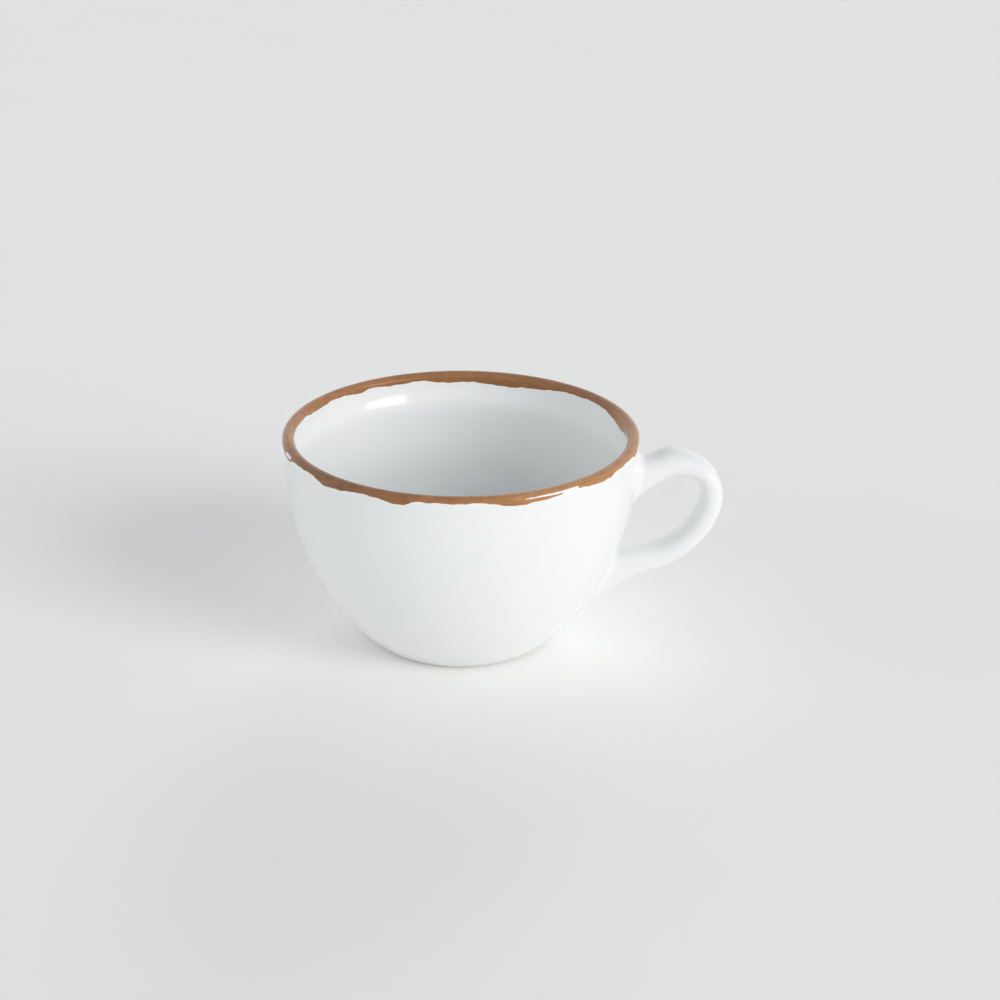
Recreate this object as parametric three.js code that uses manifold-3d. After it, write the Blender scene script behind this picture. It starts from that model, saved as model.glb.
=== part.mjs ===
// Cappuccino cup
// A turned porcelain bowl on a low foot ring, a cast ear handle luted on with slip at two roots,
// and a band of brown glaze brushed over the lip.
// Millimetres, +Z up. The cup stands on z = 0 with its handle towards +X, and the origin lies on
// the table under the middle of the bowl and handle together.

import * as THREE from "three";
import { mergeVertices } from "three/addons/utils/BufferGeometryUtils.js";
import Module from "manifold-3d";

// Bowl
const cupHeight = 60.6; // table to the crest of the banded lip
const rimRadius = 49; // outside of the banded lip
const bellyRadius = 48.6; // outside of the wall where it stands upright
const lipHeight = 6.1; // upright lip, above the belly
const lipThickness = 3.4; // over the band
const wallThickness = 3; // at the belly; the wall thickens towards the foot
const footRadius = 25.2;
const footHeight = 0.7; // table to the lower edge of the bowl's wall
const footSetBack = 0.7; // the foot ring stands this far inside that edge
const footWidth = 3.4;
const footEdge = 0.3; // rounding of the foot ring's two edges
const recessDepth = 1.6; // underside of the floor above the table
const recessCove = 1; // rounding between the foot ring and the underside
const floorThickness = 3.8; // at the axis
const floorRadius = 19; // where the inner wall runs out into the floor
const floorDish = 1.2; // rise of the floor from the axis to that radius

// Brown band over the lip
const bandCoat = 0.35; // thickness of the glaze
const bandGap = 0.15; // between the glaze and the lip under it
const bandDropOutside = 1.8; // mean depth of the band below the crest
const bandDropInside = 2.4;
const bandWave = 0.7; // how far its brushed edge strays from the mean

// Handle
const handleDrop = 9.1; // middle of the crown below the crest of the lip
const handleReach = 24.2; // outermost point of the bend beyond the belly
const bendDrop = 10.2; // outermost point of the bend below the middle of the crown
const upperRootDrop = 7.3; // middle of the upper root below the middle of the crown
const tailHeight = 8.4; // middle of the tail's end above the table
const rootThickness = 12.3; // in the plane of the loop
const crownThickness = 7.7;
const shoulderThickness = 5.6; // between the crown and the bend
const bendThickness = 6.4;
const tailThickness = 6.6;
const tailSwell = 1.9; // thicker by this where the tail comes in over the wall
const rootWidth = 11; // across the loop
const gripWidth = 9.6;
const tailWidth = 9.2;
const sectionPower = 2.4; // 2 is a plain oval, a higher power is squarer
const buriedLength = 5; // how far the uncut ends reach past the face of the wall

// Slip joints
const slipFilm = 0.6; // between the wall and the handle's cut roots
const slipGap = 0.15; // clearance of the slip to each of them
const slipFillet = 2.6; // reach of the slip that is pressed out round a root

// Faceting
const turnSegments = 64;
const flareSteps = 6;
const handleRings = 44;
const handleSides = 24;
const slipRings = 6;

const wasm = await Module();
wasm.setup();

// Merges shared vertices and drops the triangles that collapse on the axis.
function closed(geometry) {
  geometry.deleteAttribute("normal");
  geometry.deleteAttribute("uv");
  const merged = mergeVertices(geometry, 1e-4);
  const kept = [];
  for (let i = 0; i < merged.index.count; i += 3) {
    const triangle = [0, 1, 2].map((corner) => merged.index.getX(i + corner));
    if (new Set(triangle).size === 3) kept.push(...triangle);
  }
  merged.setIndex(kept);
  return merged;
}

function toSolid(geometry) {
  const vertProperties = new Float32Array(geometry.attributes.position.array);
  const triVerts = new Uint32Array(geometry.index.array);
  return new wasm.Manifold(new wasm.Mesh({ numProp: 3, vertProperties, triVerts }));
}

function toGeometry(solid) {
  const mesh = solid.getMesh();
  const geometry = new THREE.BufferGeometry();
  geometry.setAttribute("position", new THREE.BufferAttribute(mesh.vertProperties, 3));
  geometry.setIndex(new THREE.BufferAttribute(mesh.triVerts, 1));
  return geometry;
}

// A closed surface through rings of points, each ring a closed loop of as many points.
function ringSurface(rings, endsMeet) {
  const sides = rings[0].length;
  const positions = rings.flat().flatMap((point) => point.toArray());
  const triangles = [];
  const spans = endsMeet ? rings.length : rings.length - 1;
  for (let ring = 0; ring < spans; ring++) {
    const next = (ring + 1) % rings.length;
    for (let side = 0; side < sides; side++) {
      const beside = (side + 1) % sides;
      const a = ring * sides + side;
      const b = ring * sides + beside;
      const c = next * sides + beside;
      const d = next * sides + side;
      triangles.push(a, c, b, a, d, c);
    }
  }
  if (!endsMeet) {
    const last = (rings.length - 1) * sides;
    for (let side = 1; side < sides - 1; side++) {
      triangles.push(0, side, side + 1);
      triangles.push(last, last + side + 1, last + side);
    }
  }
  const geometry = new THREE.BufferGeometry();
  geometry.setAttribute("position", new THREE.Float32BufferAttribute(positions, 3));
  geometry.setIndex(triangles);
  return closed(geometry);
}

// Turns a profile of (radius, height) points about the cup's upright axis.
function turned(profile) {
  const lathe = new THREE.LatheGeometry(profile, turnSegments);
  return closed(lathe.rotateX(Math.PI / 2));
}

// Curves of the bowl's profile, as (radius, height)

const bandBuild = bandCoat + bandGap;
const bellyHeight = cupHeight - lipHeight;
const lipRound = lipThickness / 2 - bandBuild;
const lipMiddle = new THREE.Vector2(rimRadius - lipThickness / 2, cupHeight - lipThickness / 2);
const floorHeight = recessDepth + floorThickness;

// A quarter of an ellipse on the axis at the belly's height, through one lower point.
function wallEllipse(radius, lowPoint) {
  const depth = (bellyHeight - lowPoint.y) / Math.sqrt(1 - (lowPoint.x / radius) ** 2);
  const lowAngle = -Math.acos(lowPoint.x / radius);
  return new THREE.EllipseCurve(0, bellyHeight, radius, depth, lowAngle, 0);
}

// An easy S from one upright line to another.
function easyFlare(from, to) {
  const middle = (from.y + to.y) / 2;
  return new THREE.CubicBezierCurve(
    from,
    new THREE.Vector2(from.x, middle),
    new THREE.Vector2(to.x, middle),
    to,
  );
}

const outerWall = wallEllipse(bellyRadius, new THREE.Vector2(footRadius + footSetBack, footHeight));
const outerFlare = easyFlare(
  new THREE.Vector2(bellyRadius, bellyHeight),
  new THREE.Vector2(lipMiddle.x + lipRound, lipMiddle.y),
);
const lip = new THREE.EllipseCurve(lipMiddle.x, lipMiddle.y, lipRound, lipRound, 0, Math.PI);
const innerFlare = easyFlare(
  new THREE.Vector2(lipMiddle.x - lipRound, lipMiddle.y),
  new THREE.Vector2(bellyRadius - wallThickness, bellyHeight),
);
const floorEdge = new THREE.Vector2(floorRadius, floorHeight + floorDish);
const innerWall = wallEllipse(bellyRadius - wallThickness, floorEdge);
const floorSlope = innerWall.getTangent(0);
const floorTurn = floorRadius - (floorDish * floorSlope.x) / floorSlope.y;
const floor = new THREE.QuadraticBezierCurve(
  floorEdge,
  new THREE.Vector2(floorTurn, floorHeight),
  new THREE.Vector2(0, floorHeight),
);

const footInside = footRadius - footWidth;
const quarter = Math.PI / 2;
const cove = new THREE.EllipseCurve(
  footInside - recessCove, recessDepth - recessCove, recessCove, recessCove, quarter, 0, true,
);
const innerFootEdge = new THREE.EllipseCurve(
  footInside + footEdge, footEdge, footEdge, footEdge, 2 * quarter, 3 * quarter,
);
const outerFootEdge = new THREE.EllipseCurve(
  footRadius - footEdge, footEdge, footEdge, footEdge, 3 * quarter, 4 * quarter,
);

function bowlGeometry() {
  const profile = [
    new THREE.Vector2(0, recessDepth),
    ...cove.getPoints(3),
    ...innerFootEdge.getPoints(2),
    ...outerFootEdge.getPoints(2),
    ...outerWall.getPoints(12),
    ...outerFlare.getPoints(flareSteps),
    ...lip.getPoints(6),
    ...innerFlare.getPoints(flareSteps),
    ...innerWall.getPoints(10).reverse(),
    ...floor.getPoints(4),
  ];
  const apart = profile.filter((point, i) => i === 0 || point.distanceTo(profile[i - 1]) > 1e-6);
  return turned(apart);
}

// The brushed edge strays by a sum of waves that close on themselves round the rim.
function brushStray(angle, shift) {
  const slow = Math.sin(5 * angle + shift);
  const main = Math.sin(9 * angle + 2 * shift);
  const quick = Math.sin(14 * angle + 5 * shift);
  return bandWave * (0.3 * slow + 0.45 * main + 0.25 * quick);
}

function bandGeometry() {
  const line = new THREE.CurvePath();
  line.add(outerFlare);
  line.add(lip);
  line.add(innerFlare);
  const length = line.getLength();
  const crest = outerFlare.getLength() + lip.getLength() / 2;
  const overCrest = lip.getLength() / 2 - lipRound;
  const steps = 12;
  const rings = [];
  for (let turn = 0; turn < turnSegments; turn++) {
    const angle = (2 * Math.PI * turn) / turnSegments;
    const from = crest - overCrest - bandDropOutside - brushStray(angle, 0.7);
    const to = crest + overCrest + bandDropInside + brushStray(angle, 2.9);
    const skins = [[], []];
    for (let step = 0; step <= steps; step++) {
      const along = THREE.MathUtils.lerp(from, to, step / steps) / length;
      const point = line.getPointAt(along);
      const tangent = line.getTangentAt(along);
      [bandGap, bandBuild].forEach((proud, skin) => {
        const radius = point.x + proud * tangent.y;
        const height = point.y - proud * tangent.x;
        skins[skin].push(new THREE.Vector3(radius * Math.sin(angle), -radius * Math.cos(angle), height));
      });
    }
    rings.push([...skins[1], ...skins[0].reverse()]);
  }
  return ringSurface(rings, true);
}

// The outside of the wall, grown by a margin, as a solid plug that fills the bowl.
function wallPlug(margin) {
  const line = [...outerWall.getPoints(39), ...outerFlare.getPoints(8).slice(1)];
  const grown = line.map((point, i) => {
    const before = line[Math.max(i - 1, 0)];
    const after = line[Math.min(i + 1, line.length - 1)];
    const along = after.clone().sub(before).normalize();
    return new THREE.Vector2(point.x + margin * along.y, point.y - margin * along.x);
  });
  const top = grown[grown.length - 1];
  const low = grown[0];
  const profile = [new THREE.Vector2(0, low.y), ...grown, new THREE.Vector2(0, top.y)];
  return toSolid(turned(profile));
}

// Radius of the outer wall at a height between the foot and the belly.
function wallRadius(height) {
  const drop = Math.max(bellyHeight - height, 0) / outerWall.yRadius;
  return bellyRadius * Math.sqrt(Math.max(1 - drop ** 2, 0));
}

// Slope of the outer wall at a height, as radius gained for each step up.
function wallSlope(height) {
  const drop = Math.max(bellyHeight - height, 0);
  return (bellyRadius / outerWall.yRadius) ** 2 * (drop / wallRadius(height));
}

function wallNormal(point) {
  const radius = Math.hypot(point.x, point.y);
  const slope = wallSlope(point.z);
  return new THREE.Vector3(point.x / radius, point.y / radius, -slope).normalize();
}

// How far a point stands off the outer wall, negative inside it.
function standOff(point) {
  const radius = Math.hypot(point.x, point.y);
  return (radius - wallRadius(point.z)) / Math.hypot(1, wallSlope(point.z));
}

// Stations of the handle's middle line, each with its thickness in the plane of the loop and its width

const crownHeight = cupHeight - handleDrop;
const bendReach = handleReach - bendThickness / 2;
const loopRise = crownHeight - tailHeight;
const upperRootHeight = crownHeight - upperRootDrop;

function station(across, rise, thickness, width) {
  const middle = new THREE.Vector3(bellyRadius + across * bendReach, 0, tailHeight + rise * loopRise);
  return { middle, size: new THREE.Vector3(thickness, width, 0) };
}

function buriedStation(height, thickness, width) {
  const middle = new THREE.Vector3(wallRadius(height) - buriedLength, 0, height);
  return { middle, size: new THREE.Vector3(thickness, width, 0) };
}

const stations = [
  buriedStation(upperRootHeight, rootThickness, rootWidth),
  station(0.25, 0.962, 0.85 * crownThickness + 0.15 * rootThickness, (rootWidth + gripWidth) / 2),
  station(0.49, 1, crownThickness, gripWidth),
  station(0.898, 0.927, shoulderThickness, gripWidth),
  station(1, 1 - bendDrop / loopRise, bendThickness, gripWidth),
  station(0.846, 0.554, (bendThickness + tailThickness) / 2, gripWidth),
  station(0.472, 0.382, tailThickness, gripWidth),
  station(-0.142, 0.269, tailThickness + tailSwell, tailWidth),
  station(-0.461, 0.171, tailThickness + 0.85 * tailSwell, tailWidth),
  buriedStation(tailHeight, tailThickness + 0.5 * tailSwell, tailWidth),
];
const middleLine = new THREE.CatmullRomCurve3(stations.map((each) => each.middle), false, "centripetal");
const sectionSizes = new THREE.CatmullRomCurve3(stations.map((each) => each.size), false, "catmullrom");

// A cosine or sine drawn out towards the corners of the handle's section.
function squared(share) {
  return Math.sign(share) * Math.abs(share) ** (2 / sectionPower);
}

// A point on the handle's skin, from its place along the middle line and its turn about that line.
// The section is a squarish oval, grown outwards by a margin.
function skinPoint(along, turn, margin) {
  const across = new THREE.Vector3(0, 1, 0);
  const outwards = new THREE.Vector3().crossVectors(middleLine.getTangent(along), across);
  const size = sectionSizes.getPoint(along);
  return middleLine.getPoint(along)
    .addScaledVector(outwards, (size.x / 2 + margin) * squared(Math.cos(turn)))
    .addScaledVector(across, (size.y / 2 + margin) * squared(Math.sin(turn)));
}

function ringOfSides(pointAtTurn) {
  return Array.from({ length: handleSides }, (_, side) => pointAtTurn((2 * Math.PI * side) / handleSides));
}

// The whole handle as a loft, with both ends still buried in the wall.
// The rings lie closest at the ends.
function handleLoft(margin) {
  const rings = [];
  for (let ring = 0; ring <= handleRings; ring++) {
    const along = 0.5 - 0.5 * Math.cos((Math.PI * ring) / handleRings);
    rings.push(ringOfSides((turn) => skinPoint(along, turn, margin)));
  }
  return toSolid(ringSurface(rings, false));
}

// A point of the slip round a root: the handle's skin at a stand-off from the wall, moved away
// along the wall. The search runs between one place inside the wall and one clear of the slip.
function slipPoint(turn, distance, inside, clear) {
  let near = inside;
  let far = clear;
  for (let halving = 0; halving < 30; halving++) {
    const place = (near + far) / 2;
    const isNear = standOff(skinPoint(place, turn, 0)) < distance;
    near = isNear ? place : near;
    far = isNear ? far : place;
  }
  const skin = skinPoint(near, turn, 0);
  const normal = wallNormal(skin);
  const away = skin.clone().sub(middleLine.getPoint(near));
  away.addScaledVector(normal, -away.dot(normal)).normalize();
  const share = Math.min(1 - distance / slipFillet, 1);
  return skin.addScaledVector(away, slipFillet * share * (0.4 + 0.6 * share));
}

const handle = handleLoft(0).subtract(wallPlug(slipFilm));
const handleSeat = handleLoft(slipGap).subtract(wallPlug(slipFilm - slipGap));
const wallSeat = wallPlug(slipGap);

// The slip of one root: a film under the handle's cut face and a fillet pressed out round it.
function slipJoint(inside, clear) {
  const rings = [];
  for (let ring = -2; ring <= slipRings; ring++) {
    const distance = (slipFillet * ring) / slipRings;
    rings.push(ringOfSides((turn) => slipPoint(turn, distance, inside, clear)));
  }
  if (clear < inside) rings.reverse();
  return toSolid(ringSurface(rings, false)).subtract(handleSeat).subtract(wallSeat);
}

const upperSlip = slipJoint(0, 0.2);
const lowerSlip = slipJoint(1, 0.6);

// Materials

function glazed(color, roughness) {
  return new THREE.MeshStandardMaterial({ color, roughness, metalness: 0 });
}

const porcelain = glazed(0xf1f2f1, 0.12);
const brownGlaze = glazed(0x8a5c38, 0.18);

function piece(name, geometry, material) {
  const mesh = new THREE.Mesh(geometry, material.clone());
  mesh.name = name;
  return mesh;
}

const cup = new THREE.Group();
cup.add(
  piece("bowl", bowlGeometry(), porcelain),
  piece("rim_band", bandGeometry(), brownGlaze),
  piece("handle", toGeometry(handle), porcelain),
  piece("upper_slip_joint", toGeometry(upperSlip), porcelain),
  piece("lower_slip_joint", toGeometry(lowerSlip), porcelain),
);
const extent = new THREE.Box3().setFromObject(cup);
cup.position.x = -(extent.min.x + extent.max.x) / 2;

export default cup;
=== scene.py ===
import math

import bpy
from mathutils import Matrix, Vector


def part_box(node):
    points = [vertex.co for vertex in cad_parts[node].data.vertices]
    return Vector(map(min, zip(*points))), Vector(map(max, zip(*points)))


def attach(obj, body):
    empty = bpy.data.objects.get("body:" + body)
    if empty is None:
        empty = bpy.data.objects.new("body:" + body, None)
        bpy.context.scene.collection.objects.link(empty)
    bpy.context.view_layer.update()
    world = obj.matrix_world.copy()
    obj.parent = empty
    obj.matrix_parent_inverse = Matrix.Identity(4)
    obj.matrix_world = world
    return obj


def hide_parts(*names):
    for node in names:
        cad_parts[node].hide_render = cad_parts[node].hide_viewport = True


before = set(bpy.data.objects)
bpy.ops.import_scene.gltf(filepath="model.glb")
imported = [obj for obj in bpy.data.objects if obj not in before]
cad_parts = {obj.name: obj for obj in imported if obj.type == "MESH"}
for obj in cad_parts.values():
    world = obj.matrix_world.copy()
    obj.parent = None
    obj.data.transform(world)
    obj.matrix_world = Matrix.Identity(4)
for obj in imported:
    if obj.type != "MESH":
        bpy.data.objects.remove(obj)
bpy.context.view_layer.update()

bowlLow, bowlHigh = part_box("bowl")
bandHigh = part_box("rim_band")[1]
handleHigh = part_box("handle")[1]
cupAxis = (bowlLow.x + bowlHigh.x) / 2  # the bowl's upright axis, on the X line
rimRadius = bandHigh.y
cupHeight = bandHigh.z
print("frame loaded, rim", round(rimRadius * 2000, 1), "mm across,", round(cupHeight * 1000, 1), "mm high")


# small tools

mergeDistance = 1e-6  # between vertices that become one


def smoothStep(share):
    share = min(max(share, 0), 1)
    return share * share * (3 - 2 * share)


def freshMesh(name):
    obj = bpy.context.object
    obj.name = name
    obj.data.name = name
    return obj


def placeVertices(obj, points):
    flat = [number for point in points for number in point]
    obj.data.vertices.foreach_set("co", flat)
    obj.data.update()


def cleanUp(obj, sharpAngle):
    bpy.ops.object.select_all(action="DESELECT")
    obj.select_set(True)
    bpy.context.view_layer.objects.active = obj
    bpy.ops.object.mode_set(mode="EDIT")
    bpy.ops.mesh.select_all(action="SELECT")
    bpy.ops.mesh.remove_doubles(threshold=mergeDistance)
    bpy.ops.mesh.normals_make_consistent(inside=False)
    bpy.ops.object.mode_set(mode="OBJECT")
    bpy.ops.object.shade_smooth_by_angle(angle=math.radians(sharpAngle))


def hangOn(obj, node, material):
    obj.data.materials.clear()
    obj.data.materials.append(material)
    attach(obj, "root")
    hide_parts(node)
    print(obj.name, "done,", len(obj.data.polygons), "faces")


# a line of vertices pulled out one by one from a single point
def drawLine(name, line):
    bpy.ops.object.select_all(action="DESELECT")
    bpy.ops.mesh.primitive_plane_add(size=0.01)
    obj = freshMesh(name)
    bpy.ops.object.mode_set(mode="EDIT")
    bpy.ops.mesh.select_all(action="SELECT")
    bpy.ops.mesh.merge(type="CENTER")
    radius, height = line[0]
    bpy.ops.transform.translate(value=(cupAxis + radius, 0, height))
    for start, end in zip(line, line[1:]):
        step = (end[0] - start[0], 0, end[1] - start[1])
        bpy.ops.mesh.extrude_region_move(TRANSFORM_OT_translate={"value": step})
    return obj


def spinLine(name, line, turns):
    obj = drawLine(name, line)
    bpy.ops.mesh.select_all(action="SELECT")
    bpy.ops.mesh.spin(steps=turns, angle=2 * math.pi, center=(cupAxis, 0, 0), axis=(0, 0, 1))
    bpy.ops.object.mode_set(mode="OBJECT")
    return obj


# materials

glazeLooks = {
    "white": (0.868, 0.876, 0.872, 1),
    "pooled": (0.838, 0.852, 0.852, 1),  # where the clear glaze lies a little thicker
    "paintedShade": (0.79, 0.806, 0.814, 1),  # painted shade: a darker tone low inside the bowl, standing in for the shade there
    "bareClay": (0.72, 0.68, 0.61, 1),  # the foot ring is wiped free of glaze
    "bareHeight": 0.00045,
    "bareRough": 0.75,
    "cloudScale": 38,
    "shine": (0.08, 0.14),  # roughness, from the calmest to the busiest spots
    "ripple": 0.025,
    "rippleScale": 120,
    "rippleDepth": 0.0006,
}


def node(tree, kind, place, **settings):
    made = tree.nodes.new(kind)
    made.location = place
    for key, value in settings.items():
        setattr(made, key, value)
    return made


def newMaterial(name):
    material = bpy.data.materials.new(name)
    material.use_nodes = True
    tree = material.node_tree
    return material, tree, tree.nodes["Principled BSDF"]


def porcelainGlaze():
    looks = glazeLooks
    material, tree, shader = newMaterial("porcelain_glaze")
    link = tree.links.new
    where = node(tree, "ShaderNodeTexCoord", (-1300, 0))

    cloud = node(tree, "ShaderNodeTexNoise", (-1050, 250))
    cloud.inputs["Scale"].default_value = looks["cloudScale"]
    cloud.inputs["Detail"].default_value = 3
    link(where.outputs["Object"], cloud.inputs["Vector"])
    tint = node(tree, "ShaderNodeMix", (-600, 300), data_type="RGBA")
    tint.inputs["A"].default_value = looks["white"]
    tint.inputs["B"].default_value = looks["pooled"]
    link(cloud.outputs["Fac"], tint.inputs["Factor"])

    # painted shade: the glaze is darkened low inside the bowl, where the inside lies in shade
    paintedShadeMask = node(tree, "ShaderNodeAttribute", (-820, 500), attribute_name="paintedShadeMask")
    paintedShade = node(tree, "ShaderNodeMix", (-470, 450), data_type="RGBA")
    paintedShade.inputs["B"].default_value = looks["paintedShade"]
    link(paintedShadeMask.outputs["Fac"], paintedShade.inputs["Factor"])
    link(tint.outputs["Result"], paintedShade.inputs["A"])

    # bare clay under the foot ring
    split = node(tree, "ShaderNodeSeparateXYZ", (-1050, -50))
    link(where.outputs["Object"], split.inputs["Vector"])
    bare = node(tree, "ShaderNodeMapRange", (-820, -50), interpolation_type="SMOOTHSTEP")
    bare.inputs["From Min"].default_value = looks["bareHeight"]
    bare.inputs["From Max"].default_value = looks["bareHeight"] * 0.6
    link(split.outputs["Z"], bare.inputs["Value"])
    body = node(tree, "ShaderNodeMix", (-350, 250), data_type="RGBA")
    body.inputs["B"].default_value = looks["bareClay"]
    link(bare.outputs["Result"], body.inputs["Factor"])
    link(paintedShade.outputs["Result"], body.inputs["A"])
    link(body.outputs["Result"], shader.inputs["Base Color"])

    wear = node(tree, "ShaderNodeMapRange", (-600, 0))
    wear.inputs["To Min"].default_value = looks["shine"][0]
    wear.inputs["To Max"].default_value = looks["shine"][1]
    link(cloud.outputs["Fac"], wear.inputs["Value"])
    rough = node(tree, "ShaderNodeMix", (-350, 0))
    rough.inputs["B"].default_value = looks["bareRough"]
    link(bare.outputs["Result"], rough.inputs["Factor"])
    link(wear.outputs["Result"], rough.inputs["A"])
    link(rough.outputs["Result"], shader.inputs["Roughness"])

    ripple = node(tree, "ShaderNodeTexNoise", (-820, -350))
    ripple.inputs["Scale"].default_value = looks["rippleScale"]
    ripple.inputs["Detail"].default_value = 2
    link(where.outputs["Object"], ripple.inputs["Vector"])
    bump = node(tree, "ShaderNodeBump", (-350, -300))
    bump.inputs["Strength"].default_value = looks["ripple"]
    bump.inputs["Distance"].default_value = looks["rippleDepth"]
    link(ripple.outputs["Fac"], bump.inputs["Height"])
    link(bump.outputs["Normal"], shader.inputs["Normal"])
    return material


brownLooks = {
    "thick": (0.17, 0.072, 0.027, 1),
    "middle": (0.35, 0.145, 0.047, 1),
    "thin": (0.58, 0.29, 0.125, 1),
    "stages": (0.15, 0.5, 0.95),  # where the thick, middle and thin tones stand
    "marksShare": 0.55,  # how much the brush marks change the tone
    "blotsShare": 0.3,
    "blotScale": 330,
    "ragged": 0.7,  # how much the brush marks break up a thin coat
    "bareUpTo": 0.62,  # the white shows below this, and is hidden from the next on
    "coveredFrom": 0.86,
    "shine": (0.10, 0.22),
    "relief": 0.12,
    "reliefDepth": 0.0002,
}


def brushedBrown():
    looks = brownLooks
    material, tree, shader = newMaterial("brushed_brown_glaze")
    link = tree.links.new
    where = node(tree, "ShaderNodeTexCoord", (-1500, -250))

    # brush marks run along the rim: the band's own measure is long round it and short across it
    brush = node(tree, "ShaderNodeAttribute", (-1500, 150), attribute_name="brush")
    marks = node(tree, "ShaderNodeTexNoise", (-1250, 150))
    marks.inputs["Scale"].default_value = 1
    marks.inputs["Detail"].default_value = 4
    link(brush.outputs["Vector"], marks.inputs["Vector"])
    blots = node(tree, "ShaderNodeTexNoise", (-1250, -250))
    blots.inputs["Scale"].default_value = looks["blotScale"]
    blots.inputs["Detail"].default_value = 3
    link(where.outputs["Object"], blots.inputs["Vector"])

    tone = node(tree, "ShaderNodeAttribute", (-1250, 450), attribute_name="tone")
    marksShare = node(tree, "ShaderNodeMath", (-1000, 250), operation="MULTIPLY_ADD")
    marksShare.inputs[1].default_value = looks["marksShare"]
    link(marks.outputs["Fac"], marksShare.inputs[0])
    link(tone.outputs["Fac"], marksShare.inputs[2])
    depth = node(tree, "ShaderNodeMath", (-800, 250), operation="MULTIPLY_ADD")
    depth.inputs[1].default_value = looks["blotsShare"]
    link(blots.outputs["Fac"], depth.inputs[0])
    link(marksShare.outputs["Value"], depth.inputs[2])
    ramp = node(tree, "ShaderNodeValToRGB", (-600, 250))
    stages = ramp.color_ramp.elements
    stages.new(looks["stages"][1])
    for stage, place, tint in zip(stages, looks["stages"], ("thick", "middle", "thin")):
        stage.position = place
        stage.color = looks[tint]
    link(depth.outputs["Value"], ramp.inputs["Fac"])

    # thin at its edge and in dry strokes, so the white shows between the brush marks
    cover = node(tree, "ShaderNodeAttribute", (-1000, -50), attribute_name="cover")
    ragged = node(tree, "ShaderNodeMath", (-800, -50), operation="MULTIPLY_ADD")
    ragged.inputs[1].default_value = looks["ragged"]
    link(marks.outputs["Fac"], ragged.inputs[0])
    link(cover.outputs["Fac"], ragged.inputs[2])
    laid = node(tree, "ShaderNodeMapRange", (-600, -50), interpolation_type="SMOOTHSTEP")
    laid.inputs["From Min"].default_value = looks["bareUpTo"]
    laid.inputs["From Max"].default_value = looks["coveredFrom"]
    link(ragged.outputs["Value"], laid.inputs["Value"])
    body = node(tree, "ShaderNodeMix", (-320, 150), data_type="RGBA")
    body.inputs["A"].default_value = glazeLooks["white"]
    link(laid.outputs["Result"], body.inputs["Factor"])
    link(ramp.outputs["Color"], body.inputs["B"])
    link(body.outputs["Result"], shader.inputs["Base Color"])

    rough = node(tree, "ShaderNodeMapRange", (-600, -300))
    rough.inputs["To Min"].default_value = looks["shine"][0]
    rough.inputs["To Max"].default_value = looks["shine"][1]
    link(blots.outputs["Fac"], rough.inputs["Value"])
    link(rough.outputs["Result"], shader.inputs["Roughness"])
    bump = node(tree, "ShaderNodeBump", (-320, -400))
    bump.inputs["Strength"].default_value = looks["relief"]
    bump.inputs["Distance"].default_value = looks["reliefDepth"]
    link(marks.outputs["Fac"], bump.inputs["Height"])
    link(bump.outputs["Normal"], shader.inputs["Normal"])
    return material


porcelain = porcelainGlaze()
brown = brushedBrown()
print("materials ready")


# bowl

bowlShape = {
    "bellyRadius": 0.0486,  # outside of the wall where it stands upright
    "lipHeight": 0.0061,  # upright lip, above the belly
    "lipThickness": 0.0034,  # over the band
    "wallThickness": 0.0045,  # below the flare
    "innerFlare": 0.0104,  # height over which the inside opens out to the lip
    "footRadius": 0.0252,
    "footHeight": 0.0007,  # lower edge of the wall
    "footSetBack": 0.0007,  # the foot ring stands this far inside that edge
    "footWidth": 0.0034,
    "footEdge": 0.0003,
    "footTuck": 0.00036,  # middle of the small hollow between foot and wall, below the wall's edge
    "tuckEnd": 95,  # degrees, where that hollow meets the wall
    "recessDepth": 0.0016,
    "recessCove": 0.001,
    "floorHeight": 0.0054,
    "floorRadius": 0.019,
    "floorDish": 0.0012,
    "coat": 0.00012,  # room for the brown glaze on the lip
    "paintedShadeFrom": 0.0425,  # the painted shade inside starts at this height
    # the painted shade inside is at its full depth from this height down
    "paintedShadeFull": 0.026,
    "sharpAngle": 50,  # edges sharper than this stay crisp
    "turns": 320,
    "steps": {"outer": 80, "outerFlare": 12, "lip": 20, "innerFlare": 20, "inner": 64, "floor": 16},
    "footSteps": {"recess": 6, "cove": 8, "edge": 5},
}
bellyRadius = bowlShape["bellyRadius"]
bellyHeight = cupHeight - bowlShape["lipHeight"]
lipRound = bowlShape["lipThickness"] / 2 - bowlShape["coat"]
lipMiddle = Vector((rimRadius - bowlShape["lipThickness"] / 2, cupHeight - bowlShape["lipThickness"] / 2))


def arc(middle, radius, start, end, steps):
    line = []
    for step in range(steps + 1):
        angle = math.radians(start + (end - start) * step / steps)
        line.append((middle[0] + radius * math.cos(angle), middle[1] + radius * math.sin(angle)))
    return line


# a quarter of an ellipse from one lower point up to where it stands upright
def wallCurve(radius, height, low, steps):
    depth = (height - low[1]) / math.sqrt(1 - (low[0] / radius) ** 2)
    lowAngle = -math.acos(low[0] / radius)
    line = []
    for step in range(steps + 1):
        angle = lowAngle * (1 - step / steps)
        line.append((radius * math.cos(angle), height + depth * math.sin(angle)))
    return line, depth


# an easy S between two upright lines
def flareCurve(start, end, steps):
    middle = (start[1] + end[1]) / 2
    line = []
    for step in range(steps + 1):
        t = step / steps
        ease = 3 * t * t - 2 * t ** 3
        rise = (1 - t) ** 3 * start[1] + 3 * t * (1 - t) * middle + t ** 3 * end[1]
        line.append((start[0] + (end[0] - start[0]) * ease, rise))
    return line


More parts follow.
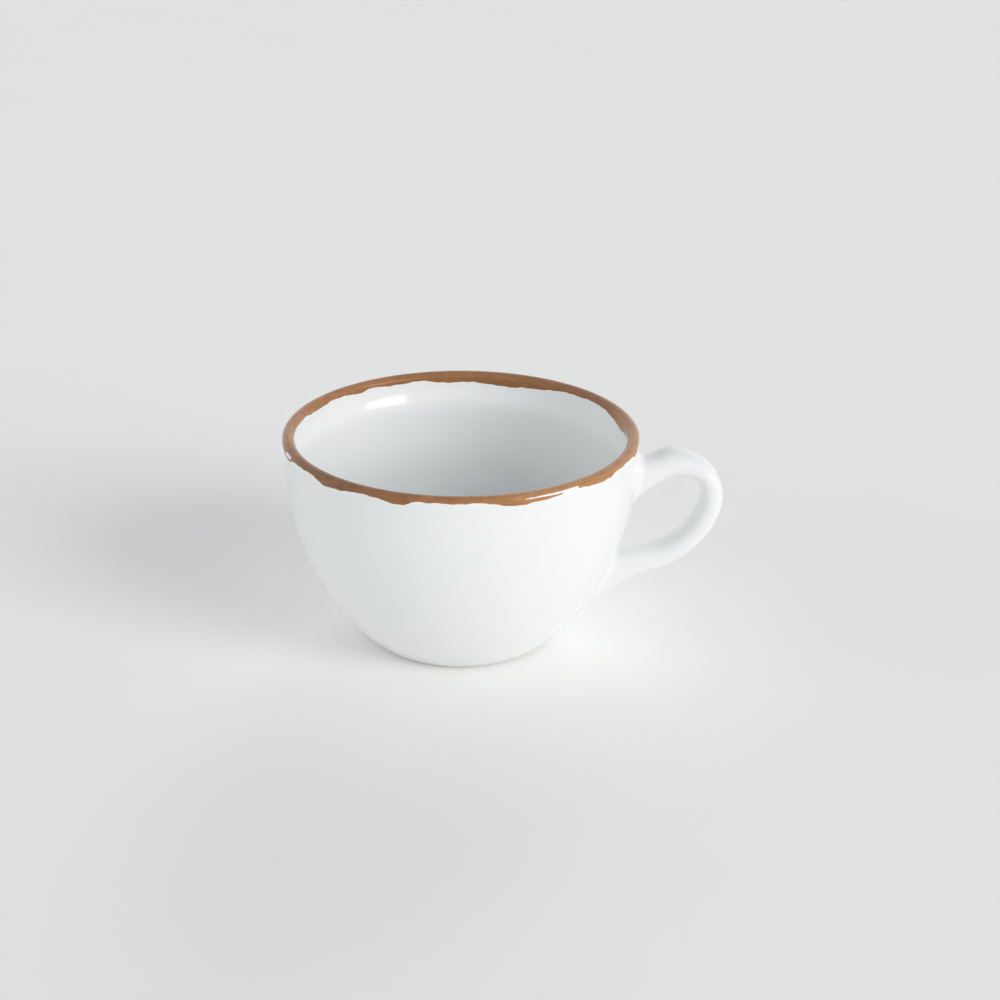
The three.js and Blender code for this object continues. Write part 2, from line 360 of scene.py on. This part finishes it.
def bowlLines():
    shape = bowlShape
    steps, footSteps = shape["steps"], shape["footSteps"]
    inside = bellyRadius - shape["wallThickness"]
    footInside = shape["footRadius"] - shape["footWidth"]
    edge = shape["footEdge"]
    cove = shape["recessCove"]
    wallFoot = (shape["footRadius"] + shape["footSetBack"], shape["footHeight"])
    outer, outerDepth = wallCurve(bellyRadius, bellyHeight, wallFoot, steps["outer"])
    innerHeight = lipMiddle.y - shape["innerFlare"]
    lipOutside = (lipMiddle.x + lipRound, lipMiddle.y)
    lipInside = (lipMiddle.x - lipRound, lipMiddle.y)
    rim = flareCurve((bellyRadius, bellyHeight), lipOutside, steps["outerFlare"])
    rim += arc(lipMiddle, lipRound, 0, 180, steps["lip"])[1:]
    rim += flareCurve(lipInside, (inside, innerHeight), steps["innerFlare"])[1:]
    floorEdge = (shape["floorRadius"], shape["floorHeight"] + shape["floorDish"])
    inner = wallCurve(inside, innerHeight, floorEdge, steps["inner"])[0]
    slope = (inner[1][1] - inner[0][1]) / (inner[1][0] - inner[0][0])
    turn = shape["floorRadius"] - shape["floorDish"] / slope
    floor = []
    for step in range(1, steps["floor"] + 1):
        t = step / steps["floor"]
        radius = (1 - t) ** 2 * floorEdge[0] + 2 * t * (1 - t) * turn
        height = (1 - t) ** 2 * floorEdge[1] + (2 * t * (1 - t) + t * t) * shape["floorHeight"]
        floor.append((radius, height))
    under = [(footInside - cove) * step / footSteps["recess"] for step in range(footSteps["recess"])]
    foot = [(radius, shape["recessDepth"]) for radius in under]
    foot += arc((footInside - cove, shape["recessDepth"] - cove), cove, 90, 0, footSteps["cove"])
    foot += arc((footInside + edge, edge), edge, 180, 270, footSteps["edge"])
    foot += arc((shape["footRadius"] - edge, edge), edge, 270, 360, footSteps["edge"])
    tuckMiddle = (shape["footRadius"] + edge, shape["footHeight"] - shape["footTuck"])
    foot += arc(tuckMiddle, edge, 180, shape["tuckEnd"], footSteps["edge"])
    return foot, outer, rim, inner[::-1][1:], floor, outerDepth


# painted shade, darker towards the bottom inside the bowl; below the belly only the inside faces up
def paintShadeLowInside(obj):
    top, full = bowlShape["paintedShadeFrom"], bowlShape["paintedShadeFull"]
    paintedShadeMask = []
    for vertex in obj.data.vertices:
        share = smoothStep((top - vertex.co.z) / (top - full))
        paintedShadeMask.append(share if vertex.normal.z > 0 else 0)
    obj.data.attributes.new("paintedShadeMask", "FLOAT", "POINT").data.foreach_set("value", paintedShadeMask)


foot, outerWall, rimLine, innerWall, floorLine, wallDepth = bowlLines()
bowlLine = foot + outerWall + rimLine[1:] + innerWall + floorLine
bowl = spinLine("turned_bowl", bowlLine, bowlShape["turns"])
cleanUp(bowl, bowlShape["sharpAngle"])
paintShadeLowInside(bowl)
hangOn(bowl, "bowl", porcelain)


# brown band brushed over the lip

bandShape = {
    "columns": 1024,
    "skinSteps": 27,
    "underSteps": 13,
    "coat": bowlShape["coat"],
    "edgeCoat": 0.000012,
    "sunk": 0.00006,  # the underside lies this deep in the lip
    "dropOutside": 0.0022,  # along the lip from its crest
    "dropInside": 0.0026,
    # runs of the brushed edge round the rim, in degrees (0 at the handle, -90 in front):
    # where one starts, where it hangs lowest, where it ends, how much lower it hangs
    "runsOutside": [
        (-176, -160, -153, 0.0014), (-141, -135, -118, 0.0014), (-122, -107, -102, 0.0012),
        (-82, -72, -50, 0.0014), (-54, -36, -32, 0.0010), (-21, -16, -11, 0.0008),
        (4, 14, 20, 0.0009), (30, 38, 50, 0.0012), (60, 66, 72, 0.0005), (82, 92, 98, 0.0012),
        (109, 118, 128, 0.0008), (140, 150, 157, 0.0012),
    ],
    "runsInside": [
        (-10, 13, 32, 0.0021), (44, 73, 106, 0.0018), (89, 97, 109, 0.0010), (105, 115, 126, 0.0007),
        (124, 132, 139, 0.0008), (140, 157, 165, 0.0006), (-172, -162, -150, 0.0008),
        (-140, -128, -118, 0.0007), (-112, -101, -92, 0.0011), (-80, -70, -62, 0.0006),
        (-54, -44, -34, 0.0011), (-28, -21, -15, 0.0006),
    ],
    # the fine unevenness of both edges: waves round the rim, and how deep they are
    "waver": [(23, 0.00008), (37, 0.00006), (61, 0.00006), (97, 0.00004)],
    "waverStart": {"outside": 0.7, "inside": 2.9},
    # dry strokes: from and to round the rim, distance from the crest at both ends, width at both ends
    "dryStrokes": [
        (-71, -49, (0.0020, 0.0019), (0.00025, 0.0008)),
        (-162, -156, (0.0021, 0.0021), (0.0009, 0.0009)),
        (24, 36, (0.0020, 0.0017), (0.0005, 0.0001)), (100, 112, (0.0019, 0.0021), (0.0001, 0.0005)),
    ],
    # paler and darker stretches of the brushwork
    "tones": [
        (-178, 0.1), (-150, -0.1), (-130, -0.17), (-112, -0.1), (-92, 0.04), (-78, 0.16), (-64, 0.32),
        (-40, 0.24), (-14, 0.22), (8, 0.1), (36, -0.08), (75, -0.05), (105, -0.02), (135, 0.08), (160, 0.12),
    ],
    "toneReach": 12,  # degrees over which one stretch passes into the next
    "edgeRise": 0.00025,  # the coat swells to its full thickness over this length
    "edgePaler": 0.12,
    "edgeBare": 0.7,  # how thinly it covers at the very edge
    "edgeBareWidth": 0.00012,
    "markCount": 9,  # a higher value gives more and shorter brush marks round the rim
    "markWidth": 0.00035,
    "sharpAngle": 60,
}


def lengthsAlong(line):
    total = [0]
    for start, end in zip(line, line[1:]):
        total.append(total[-1] + math.dist(start, end))
    return total


rimLengths = lengthsAlong(rimLine)
crestIndex = max(range(len(rimLine)), key=lambda i: rimLine[i][1])
crestLength = rimLengths[crestIndex]


# place and outward direction on the lip, by the length from its crest
def onLip(distance):
    wanted = crestLength + distance
    i = 0
    while i < len(rimLine) - 2 and rimLengths[i + 1] < wanted:
        i += 1
    share = (wanted - rimLengths[i]) / (rimLengths[i + 1] - rimLengths[i])
    start, end = Vector(rimLine[i]), Vector(rimLine[i + 1])
    before = start - Vector(rimLine[max(i - 1, 0)])
    after = Vector(rimLine[min(i + 2, len(rimLine) - 1)]) - end
    step = end - start
    smooth = (step + before).normalized().lerp((step + after).normalized(), share)
    return start + step * share, Vector((smooth.y, -smooth.x)).normalized()


def turnApart(angle, other):
    return (angle - other + 180) % 360 - 180


# whole waves, so that the edge closes round the rim
def brushWaver(angle, start):
    turn = math.radians(angle)
    waver = 0
    for k, (count, size) in enumerate(bandShape["waver"]):
        waver += size * math.sin(count * turn + start * (k + 1) ** 2)
    return waver


def edgeDrop(angle, base, runs, waverStart):
    drop = base + brushWaver(angle, waverStart)
    for start, low, end, depth in runs:
        before = 1 + turnApart(angle, low) / (low - start)
        after = 1 - turnApart(angle, low) / (end - low)
        drop += depth * smoothStep(min(before, after))
    return drop


def toneAt(angle):
    leastWeight = 1e-6
    total, weights = 0, 0
    for place, tone in bandShape["tones"]:
        weight = leastWeight + math.exp(-((turnApart(angle, place) / bandShape["toneReach"]) ** 2))
        total += weight * tone
        weights += weight
    return total / weights


# how dry the brush ran at a place, from 0 to 1
def dryness(angle, distance):
    dry = 0
    for start, end, places, widths in bandShape["dryStrokes"]:
        share = turnApart(angle, start) / (end - start)
        if 0 <= share <= 1:
            middle = places[0] + (places[1] - places[0]) * share
            width = widths[0] + (widths[1] - widths[0]) * share
            across = 1.5 - 2 * abs(distance + middle) / width
            along = 8 * min(share, 1 - share)  # fades in and out over an eighth of its length
            dry = max(dry, smoothStep(across) * smoothStep(along))
    return dry


def brushBand():
    shape = bandShape
    around = shape["columns"]
    skin, under = shape["skinSteps"], shape["underSteps"]
    bpy.ops.object.select_all(action="DESELECT")
    bpy.ops.mesh.primitive_grid_add(x_subdivisions=skin + under, y_subdivisions=around, size=2 * rimRadius)
    obj = freshMesh("brushed_band")
    points, tones, covers, strokes = [], [], [], []
    for column in range(around + 1):  # the last column closes on the first, and each last row on its first
        angle = 360 * (column % around) / around
        turn = math.radians(angle)
        out = edgeDrop(angle, shape["dropOutside"], shape["runsOutside"], shape["waverStart"]["outside"])
        inside = edgeDrop(angle, shape["dropInside"], shape["runsInside"], shape["waverStart"]["inside"])
        tone = toneAt(angle)
        for row in [*range(skin + under), 0]:
            over = row < skin
            share = row / (skin - 1) if over else 1 - (row - skin + 1) / (under + 1)
            distance = -out + (out + inside) * share
            place, outward = onLip(distance)
            edge = min(distance + out, inside - distance)
            body = 1 - math.exp(-edge / shape["edgeRise"])
            proud = -shape["sunk"]
            if over:
                proud = shape["edgeCoat"] + (shape["coat"] - shape["edgeCoat"]) * body
            place = place + outward * proud
            points.append((cupAxis + place.x * math.cos(turn), place.x * math.sin(turn), place.y))
            tones.append(tone + shape["edgePaler"] * (1 - body))
            thinned = shape["edgeBare"] * math.exp(-edge / shape["edgeBareWidth"])
            covers.append(1 - thinned - dryness(angle, distance))
            count = shape["markCount"]
            strokes += [count * math.cos(turn), count * math.sin(turn), distance / shape["markWidth"]]
    placeVertices(obj, points)
    for name, values in (("tone", tones), ("cover", covers)):
        obj.data.attributes.new(name, "FLOAT", "POINT").data.foreach_set("value", values)
    obj.data.attributes.new("brush", "FLOAT_VECTOR", "POINT").data.foreach_set("vector", strokes)
    return obj


rimBand = brushBand()
cleanUp(rimBand, bandShape["sharpAngle"])
hangOn(rimBand, "rim_band", brown)


# handle

handleShape = {
    "crownDrop": 0.0091,  # middle of the crown below the crest of the lip
    "bendDrop": 0.0102,  # outermost point of the bend below the crown
    "upperRootDrop": 0.0073,
    "tailHeight": 0.0084,
    "rootThickness": 0.0123,  # in the plane of the loop
    "crownThickness": 0.0077,
    "shoulderThickness": 0.0056,
    "bendThickness": 0.0064,
    "tailThickness": 0.0066,
    "tailSwell": 0.0019,
    "rootWidth": 0.011,  # across the loop
    "gripWidth": 0.0096,
    "tailWidth": 0.0092,
    "sectionPower": 2.4,  # 2 is a plain oval, a higher power is squarer
    "buried": 0.005,
    "rings": 120,
    "sides": 64,
    "slipFilm": 0.0006,  # the cut roots stand this far off the wall
    "sharpAngle": 40,
}


def wallRadius(height):
    drop = max(bellyHeight - height, 0) / wallDepth
    return bellyRadius * math.sqrt(max(1 - drop * drop, 0))


def wallSlope(height):
    drop = max(bellyHeight - height, 0)
    return (bellyRadius / wallDepth) ** 2 * drop / wallRadius(height)


def wallNormal(point):
    radius = math.hypot(point.x, point.y)
    return Vector((point.x / radius, point.y / radius, -wallSlope(point.z))).normalized()


def standOff(point):
    radius = math.hypot(point.x, point.y)
    return (radius - wallRadius(point.z)) / math.hypot(1, wallSlope(point.z))


def handleStations():
    shape = handleShape
    tail, swell = shape["tailThickness"], shape["tailSwell"]
    root, crown, bend = shape["rootThickness"], shape["crownThickness"], shape["bendThickness"]
    rootWidth, grip, tailWidth = shape["rootWidth"], shape["gripWidth"], shape["tailWidth"]
    low = shape["tailHeight"]
    rise = cupHeight - shape["crownDrop"] - low
    reach = handleHigh.x - cupAxis - bellyRadius - bend / 2
    upper = low + rise - shape["upperRootDrop"]
    bendShare = 1 - shape["bendDrop"] / rise
    # share of the reach, share of the rise, thickness, width
    free = [
        (0.25, 0.962, 0.85 * crown + 0.15 * root, (rootWidth + grip) / 2),
        (0.49, 1, crown, grip),
        (0.898, 0.927, shape["shoulderThickness"], grip),
        (1, bendShare, bend, grip),
        (0.846, 0.554, (bend + tail) / 2, grip),
        (0.472, 0.382, tail, grip),
        (-0.142, 0.269, tail + swell, tailWidth),
        (-0.461, 0.171, tail + 0.85 * swell, tailWidth),
    ]
    stations = [(wallRadius(upper) - shape["buried"], upper, root, rootWidth)]
    stations += [(bellyRadius + x * reach, low + z * rise, thick, wide) for x, z, thick, wide in free]
    stations += [(wallRadius(low) - shape["buried"], low, tail + 0.5 * swell, tailWidth)]
    return stations


# a smooth curve through the stations: the middle line paced by its steps, the sizes evenly
def throughStations(values, place, gaps):
    count = len(values)
    i = min(int(place * (count - 1)), count - 2)
    t = place * (count - 1) - i
    b, c = values[i], values[i + 1]
    a = values[i - 1] if i > 0 else b + b - c
    d = values[i + 2] if i + 2 < count else c + c - b
    g0, g1, g2 = gaps(a, b), gaps(b, c), gaps(c, d)
    start = ((b - a) / g0 - (c - a) / (g0 + g1) + (c - b) / g1) * g1
    end = ((c - b) / g1 - (d - b) / (g1 + g2) + (d - c) / g2) * g1
    return b + start * t + (3 * (c - b) - 2 * start - end) * t ** 2 + (2 * (b - c) + start + end) * t ** 3


stations = handleStations()
stationMiddles = [Vector((x, 0, z)) for x, z, thick, wide in stations]
stationSizes = [Vector((thick, wide)) for x, z, thick, wide in stations]


def middleAt(place):
    return throughStations(stationMiddles, place, lambda a, b: math.sqrt((b - a).length))


def sizeAt(place):
    return throughStations(stationSizes, place, lambda a, b: 1)


def headingAt(place):
    nudge = 1e-4
    ahead = min(place + nudge, 1)
    return (middleAt(ahead) - middleAt(ahead - 2 * nudge)).normalized()


# the section is a squarish oval
def sectionPoint(turn):
    power = 2 / handleShape["sectionPower"]
    return tuple(math.copysign(abs(share) ** power, share) for share in (math.cos(turn), math.sin(turn)))


def skinPoint(place, turn):
    heading = headingAt(place)
    size = sizeAt(place)
    outward = heading.cross(Vector((0, 1, 0)))
    thick, wide = sectionPoint(turn)
    return middleAt(place) + outward * (thick * size.x / 2) + Vector((0, wide * size.y / 2, 0))


def pullHandle():
    shape = handleShape
    bpy.ops.object.select_all(action="DESELECT")
    bpy.ops.mesh.primitive_circle_add(vertices=shape["sides"], radius=0.5, fill_type="NGON")
    obj = freshMesh("ear_handle")
    corners = [sectionPoint(2 * math.pi * side / shape["sides"]) for side in range(shape["sides"])]
    placeVertices(obj, [(x / 2, y / 2, 0) for x, y in corners])
    bpy.ops.object.mode_set(mode="EDIT")
    bpy.ops.mesh.select_all(action="SELECT")
    lastMiddle, lastTilt, lastSize = Vector(), 0.0, Vector((1, 1))
    shift = Vector((cupAxis, 0, 0))
    for ring in range(shape["rings"] + 1):
        place = 0.5 - 0.5 * math.cos(math.pi * ring / shape["rings"])
        middle, size, heading = middleAt(place) + shift, sizeAt(place), headingAt(place)
        tilt = math.atan2(heading.x, heading.z)  # from upright, about the Y axis
        step = middle - lastMiddle
        if ring == 0:
            bpy.ops.transform.translate(value=step)
        else:
            bpy.ops.mesh.extrude_region_move(TRANSFORM_OT_translate={"value": step})
        # laid flat, resized and turned to its new heading
        bpy.ops.transform.rotate(value=lastTilt, orient_axis="Y", center_override=middle)
        growth = (size.x / lastSize.x, size.y / lastSize.y, 1)
        bpy.ops.transform.resize(value=growth, center_override=middle)
        bpy.ops.transform.rotate(value=-tilt, orient_axis="Y", center_override=middle)
        lastMiddle, lastTilt, lastSize = middle, tilt, size
    bpy.ops.object.mode_set(mode="OBJECT")
    return obj


# both roots are cut to the wall, a film of slip away from it
def cutRoots(obj):
    film = handleShape["slipFilm"]
    line = []
    for radius, height in outerWall:
        normal = Vector((1, -wallSlope(height))).normalized()
        line.append((radius + film * normal.x, height + film * normal.y))
    line = [(0, line[0][1])] + line + [(line[-1][0], cupHeight), (0, cupHeight)]
    plug = spinLine("plug", line, bowlShape["turns"])
    cleanUp(plug, bowlShape["sharpAngle"])
    bpy.ops.object.select_all(action="DESELECT")
    obj.select_set(True)
    bpy.context.view_layer.objects.active = obj
    bpy.ops.object.modifier_add(type="BOOLEAN")
    cut = obj.modifiers[-1]
    cut.operation = "DIFFERENCE"
    cut.solver = "EXACT"
    cut.object = plug
    bpy.ops.object.modifier_apply(modifier=cut.name)
    bpy.data.objects.remove(plug)


handle = pullHandle()
cleanUp(handle, handleShape["sharpAngle"])
cutRoots(handle)
cleanUp(handle, handleShape["sharpAngle"])
hangOn(handle, "handle", porcelain)


# slip joints: a collar in the corner between a root and the wall

slipShape = {
    "fillet": 0.0026,  # reach of the slip round a root
    "sides": 128,
    "steps": 22,
    "proud": 0.000006,  # over the wall and the handle's skin
    # along the handle: a place inside the wall, and one clear of it
    "upperRoot": (0, 0.2),
    "lowerRoot": (1, 0.6),
    "sharpAngle": 50,
}
searchHalvings = 30


# the place on the handle where its skin stands off the wall by a distance
def placeAtStandOff(turn, distance, inside, clear):
    near, far = inside, clear
    for halving in range(searchHalvings):
        place = (near + far) / 2
        if standOff(skinPoint(place, turn)) < distance:
            near = place
        else:
            far = place
    return near


def pressSlip(name, joint, inside, clear):
    fillet, sides, steps = slipShape["fillet"], slipShape["sides"], slipShape["steps"]
    bpy.ops.object.select_all(action="DESELECT")
    bpy.ops.mesh.primitive_torus_add(
        location=(0, 0, 0), major_segments=sides, minor_segments=steps + 2,
        major_radius=handleShape["rootWidth"], minor_radius=fillet,
    )
    obj = freshMesh(name)
    points = []
    for side in range(sides):
        turn = 2 * math.pi * side / sides
        for step in range(steps + 2):
            if step <= steps:
                angle = math.pi / 4 * (1 - math.cos(math.pi * step / steps))
                distance, reach = fillet * (1 - math.cos(angle)), fillet * (1 - math.sin(angle))
            else:
                distance, reach = 0, 0
            place = placeAtStandOff(turn, distance, inside, clear)
            skin = skinPoint(place, turn)
            normal = wallNormal(skin)
            away = skin - middleAt(place)
            away = (away - normal * away.dot(normal)).normalized()
            spot = skin + away * reach
            # down to its stand-off, since the wall curves away beneath it
            spot += wallNormal(spot) * (distance + slipShape["proud"] - standOff(spot))
            points.append((spot.x + cupAxis, spot.y, spot.z))
    placeVertices(obj, points)
    cleanUp(obj, slipShape["sharpAngle"])
    hangOn(obj, joint, porcelain)


pressSlip("upper_slip", "upper_slip_joint", *slipShape["upperRoot"])
pressSlip("lower_slip", "lower_slip_joint", *slipShape["lowerRoot"])


# floor, light and camera

studio = {
    "floorSize": 40,
    "floorColour": (0.99, 0.985, 0.975, 1),
    "floorShade": (0.975, 0.97, 0.96, 1),
    "floorGloss": 0,
    "floorRough": 0.8,
    "grainScale": 9,
    # light from all round: height as the sine of the angle above level, and colour
    "sky": [
        (0, (0.325, 0.33, 0.335)), (0.35, (0.965, 0.988, 1)),
        (0.7, (0.262, 0.274, 0.282)), (1, (0.144, 0.152, 0.158)),
    ],
    "skyPower": 1.33,
    "skySeen": (0.7, 0.7, 0.7, 1),  # before skyPower
    "skyMirrored": (0.72, 0.72, 0.72, 1),  # as the glaze reflects it
    # degrees round from the handle (the front is -90), degrees up, distance, width and height, power
    "softbox": (-34, 11, 6, (3.4, 1.15), 48),
    # broad light from far off: degrees round, degrees up, how wide it looks in degrees, strength
    "broad": {"high": (-36, 26, 26, 0.95), "back": (75, 14, 30, 0.73), "left": (-168, 12, 30, 0.22)},
    "broadDistance": 3,
    "lampColour": (1, 0.988, 0.968),
}


def paperFloor():
    bpy.ops.object.select_all(action="DESELECT")
    bpy.ops.mesh.primitive_plane_add(size=studio["floorSize"], location=(0, 0, 0))
    obj = freshMesh("floor")
    material, tree, shader = newMaterial("matt_paper")
    where = node(tree, "ShaderNodeTexCoord", (-800, 0))
    grain = node(tree, "ShaderNodeTexNoise", (-600, 0))
    grain.inputs["Scale"].default_value = studio["grainScale"]
    tint = node(tree, "ShaderNodeMix", (-350, 0), data_type="RGBA")
    tint.inputs["A"].default_value = studio["floorColour"]
    tint.inputs["B"].default_value = studio["floorShade"]
    tree.links.new(where.outputs["Object"], grain.inputs["Vector"])
    tree.links.new(grain.outputs["Fac"], tint.inputs["Factor"])
    tree.links.new(tint.outputs["Result"], shader.inputs["Base Color"])
    shader.inputs["Roughness"].default_value = studio["floorRough"]
    shader.inputs["Specular IOR Level"].default_value = studio["floorGloss"]
    obj.data.materials.append(material)


def hangLamp(name, kind, turn, rise, distance):
    turn, rise = math.radians(turn), math.radians(rise)
    towards = Vector((math.cos(turn) * math.cos(rise), math.sin(turn) * math.cos(rise), math.sin(rise)))
    bpy.ops.object.light_add(type=kind, location=towards * distance)
    lamp = bpy.context.object
    lamp.name = name
    lamp.rotation_euler = towards.to_track_quat("Z", "Y").to_euler()
    lamp.data.color = studio["lampColour"]
    return lamp


def studioLight():
    world = bpy.data.worlds.new("studio")
    bpy.context.scene.world = world
    world.use_nodes = True
    tree = world.node_tree
    back = tree.nodes["Background"]
    where = node(tree, "ShaderNodeTexCoord", (-1100, 0))
    split = node(tree, "ShaderNodeSeparateXYZ", (-900, 0))
    sky = node(tree, "ShaderNodeValToRGB", (-700, 0))
    marks = sky.color_ramp.elements
    while len(marks) < len(studio["sky"]):
        marks.new(0.5)
    for mark, (height, colour) in zip(marks, studio["sky"]):
        mark.position = height
        mark.color = (*colour, 1)
    ray = node(tree, "ShaderNodeLightPath", (-700, 350))
    mirrored = node(tree, "ShaderNodeMix", (-400, 0), data_type="RGBA")
    mirrored.inputs["B"].default_value = studio["skyMirrored"]
    seen = node(tree, "ShaderNodeMix", (-200, 0), data_type="RGBA")
    seen.inputs["B"].default_value = studio["skySeen"]
    tree.links.new(where.outputs["Generated"], split.inputs["Vector"])
    tree.links.new(split.outputs["Z"], sky.inputs["Fac"])
    tree.links.new(ray.outputs["Is Glossy Ray"], mirrored.inputs["Factor"])
    tree.links.new(sky.outputs["Color"], mirrored.inputs["A"])
    tree.links.new(ray.outputs["Is Camera Ray"], seen.inputs["Factor"])
    tree.links.new(mirrored.outputs["Result"], seen.inputs["A"])
    tree.links.new(seen.outputs["Result"], back.inputs["Color"])
    back.inputs["Strength"].default_value = studio["skyPower"]

    turn, rise, distance, size, power = studio["softbox"]
    softbox = hangLamp("softbox", "AREA", turn, rise, distance)
    softbox.data.shape = "RECTANGLE"
    softbox.data.size, softbox.data.size_y = size
    softbox.data.energy = power
    for name, (turn, rise, width, strength) in studio["broad"].items():
        lamp = hangLamp(name, "SUN", turn, rise, studio["broadDistance"])
        lamp.data.angle = math.radians(width)
        lamp.data.energy = strength
        lamp.visible_glossy = False


camera = {
    "lens": 72,
    "sensor": 36,
    "near": 0.01,
    "place": (-0.00105, -0.5117, 0.2595),
    "dip": 23.27,  # degrees below level
    "roll": 0.45,
}


def photoCamera():
    bpy.ops.object.camera_add(location=camera["place"])
    obj = bpy.context.object
    obj.name = "camera"
    obj.data.lens = camera["lens"]
    obj.data.sensor_width = camera["sensor"]
    obj.data.clip_start = camera["near"]
    dip = Matrix.Rotation(math.radians(90 - camera["dip"]), 3, "X")
    roll = Matrix.Rotation(math.radians(camera["roll"]), 3, "Z")
    obj.rotation_euler = (dip @ roll).to_euler()
    bpy.context.scene.camera = obj


paperFloor()
studioLight()
photoCamera()
bpy.context.scene.view_settings.view_transform = "Standard"
print("studio ready")
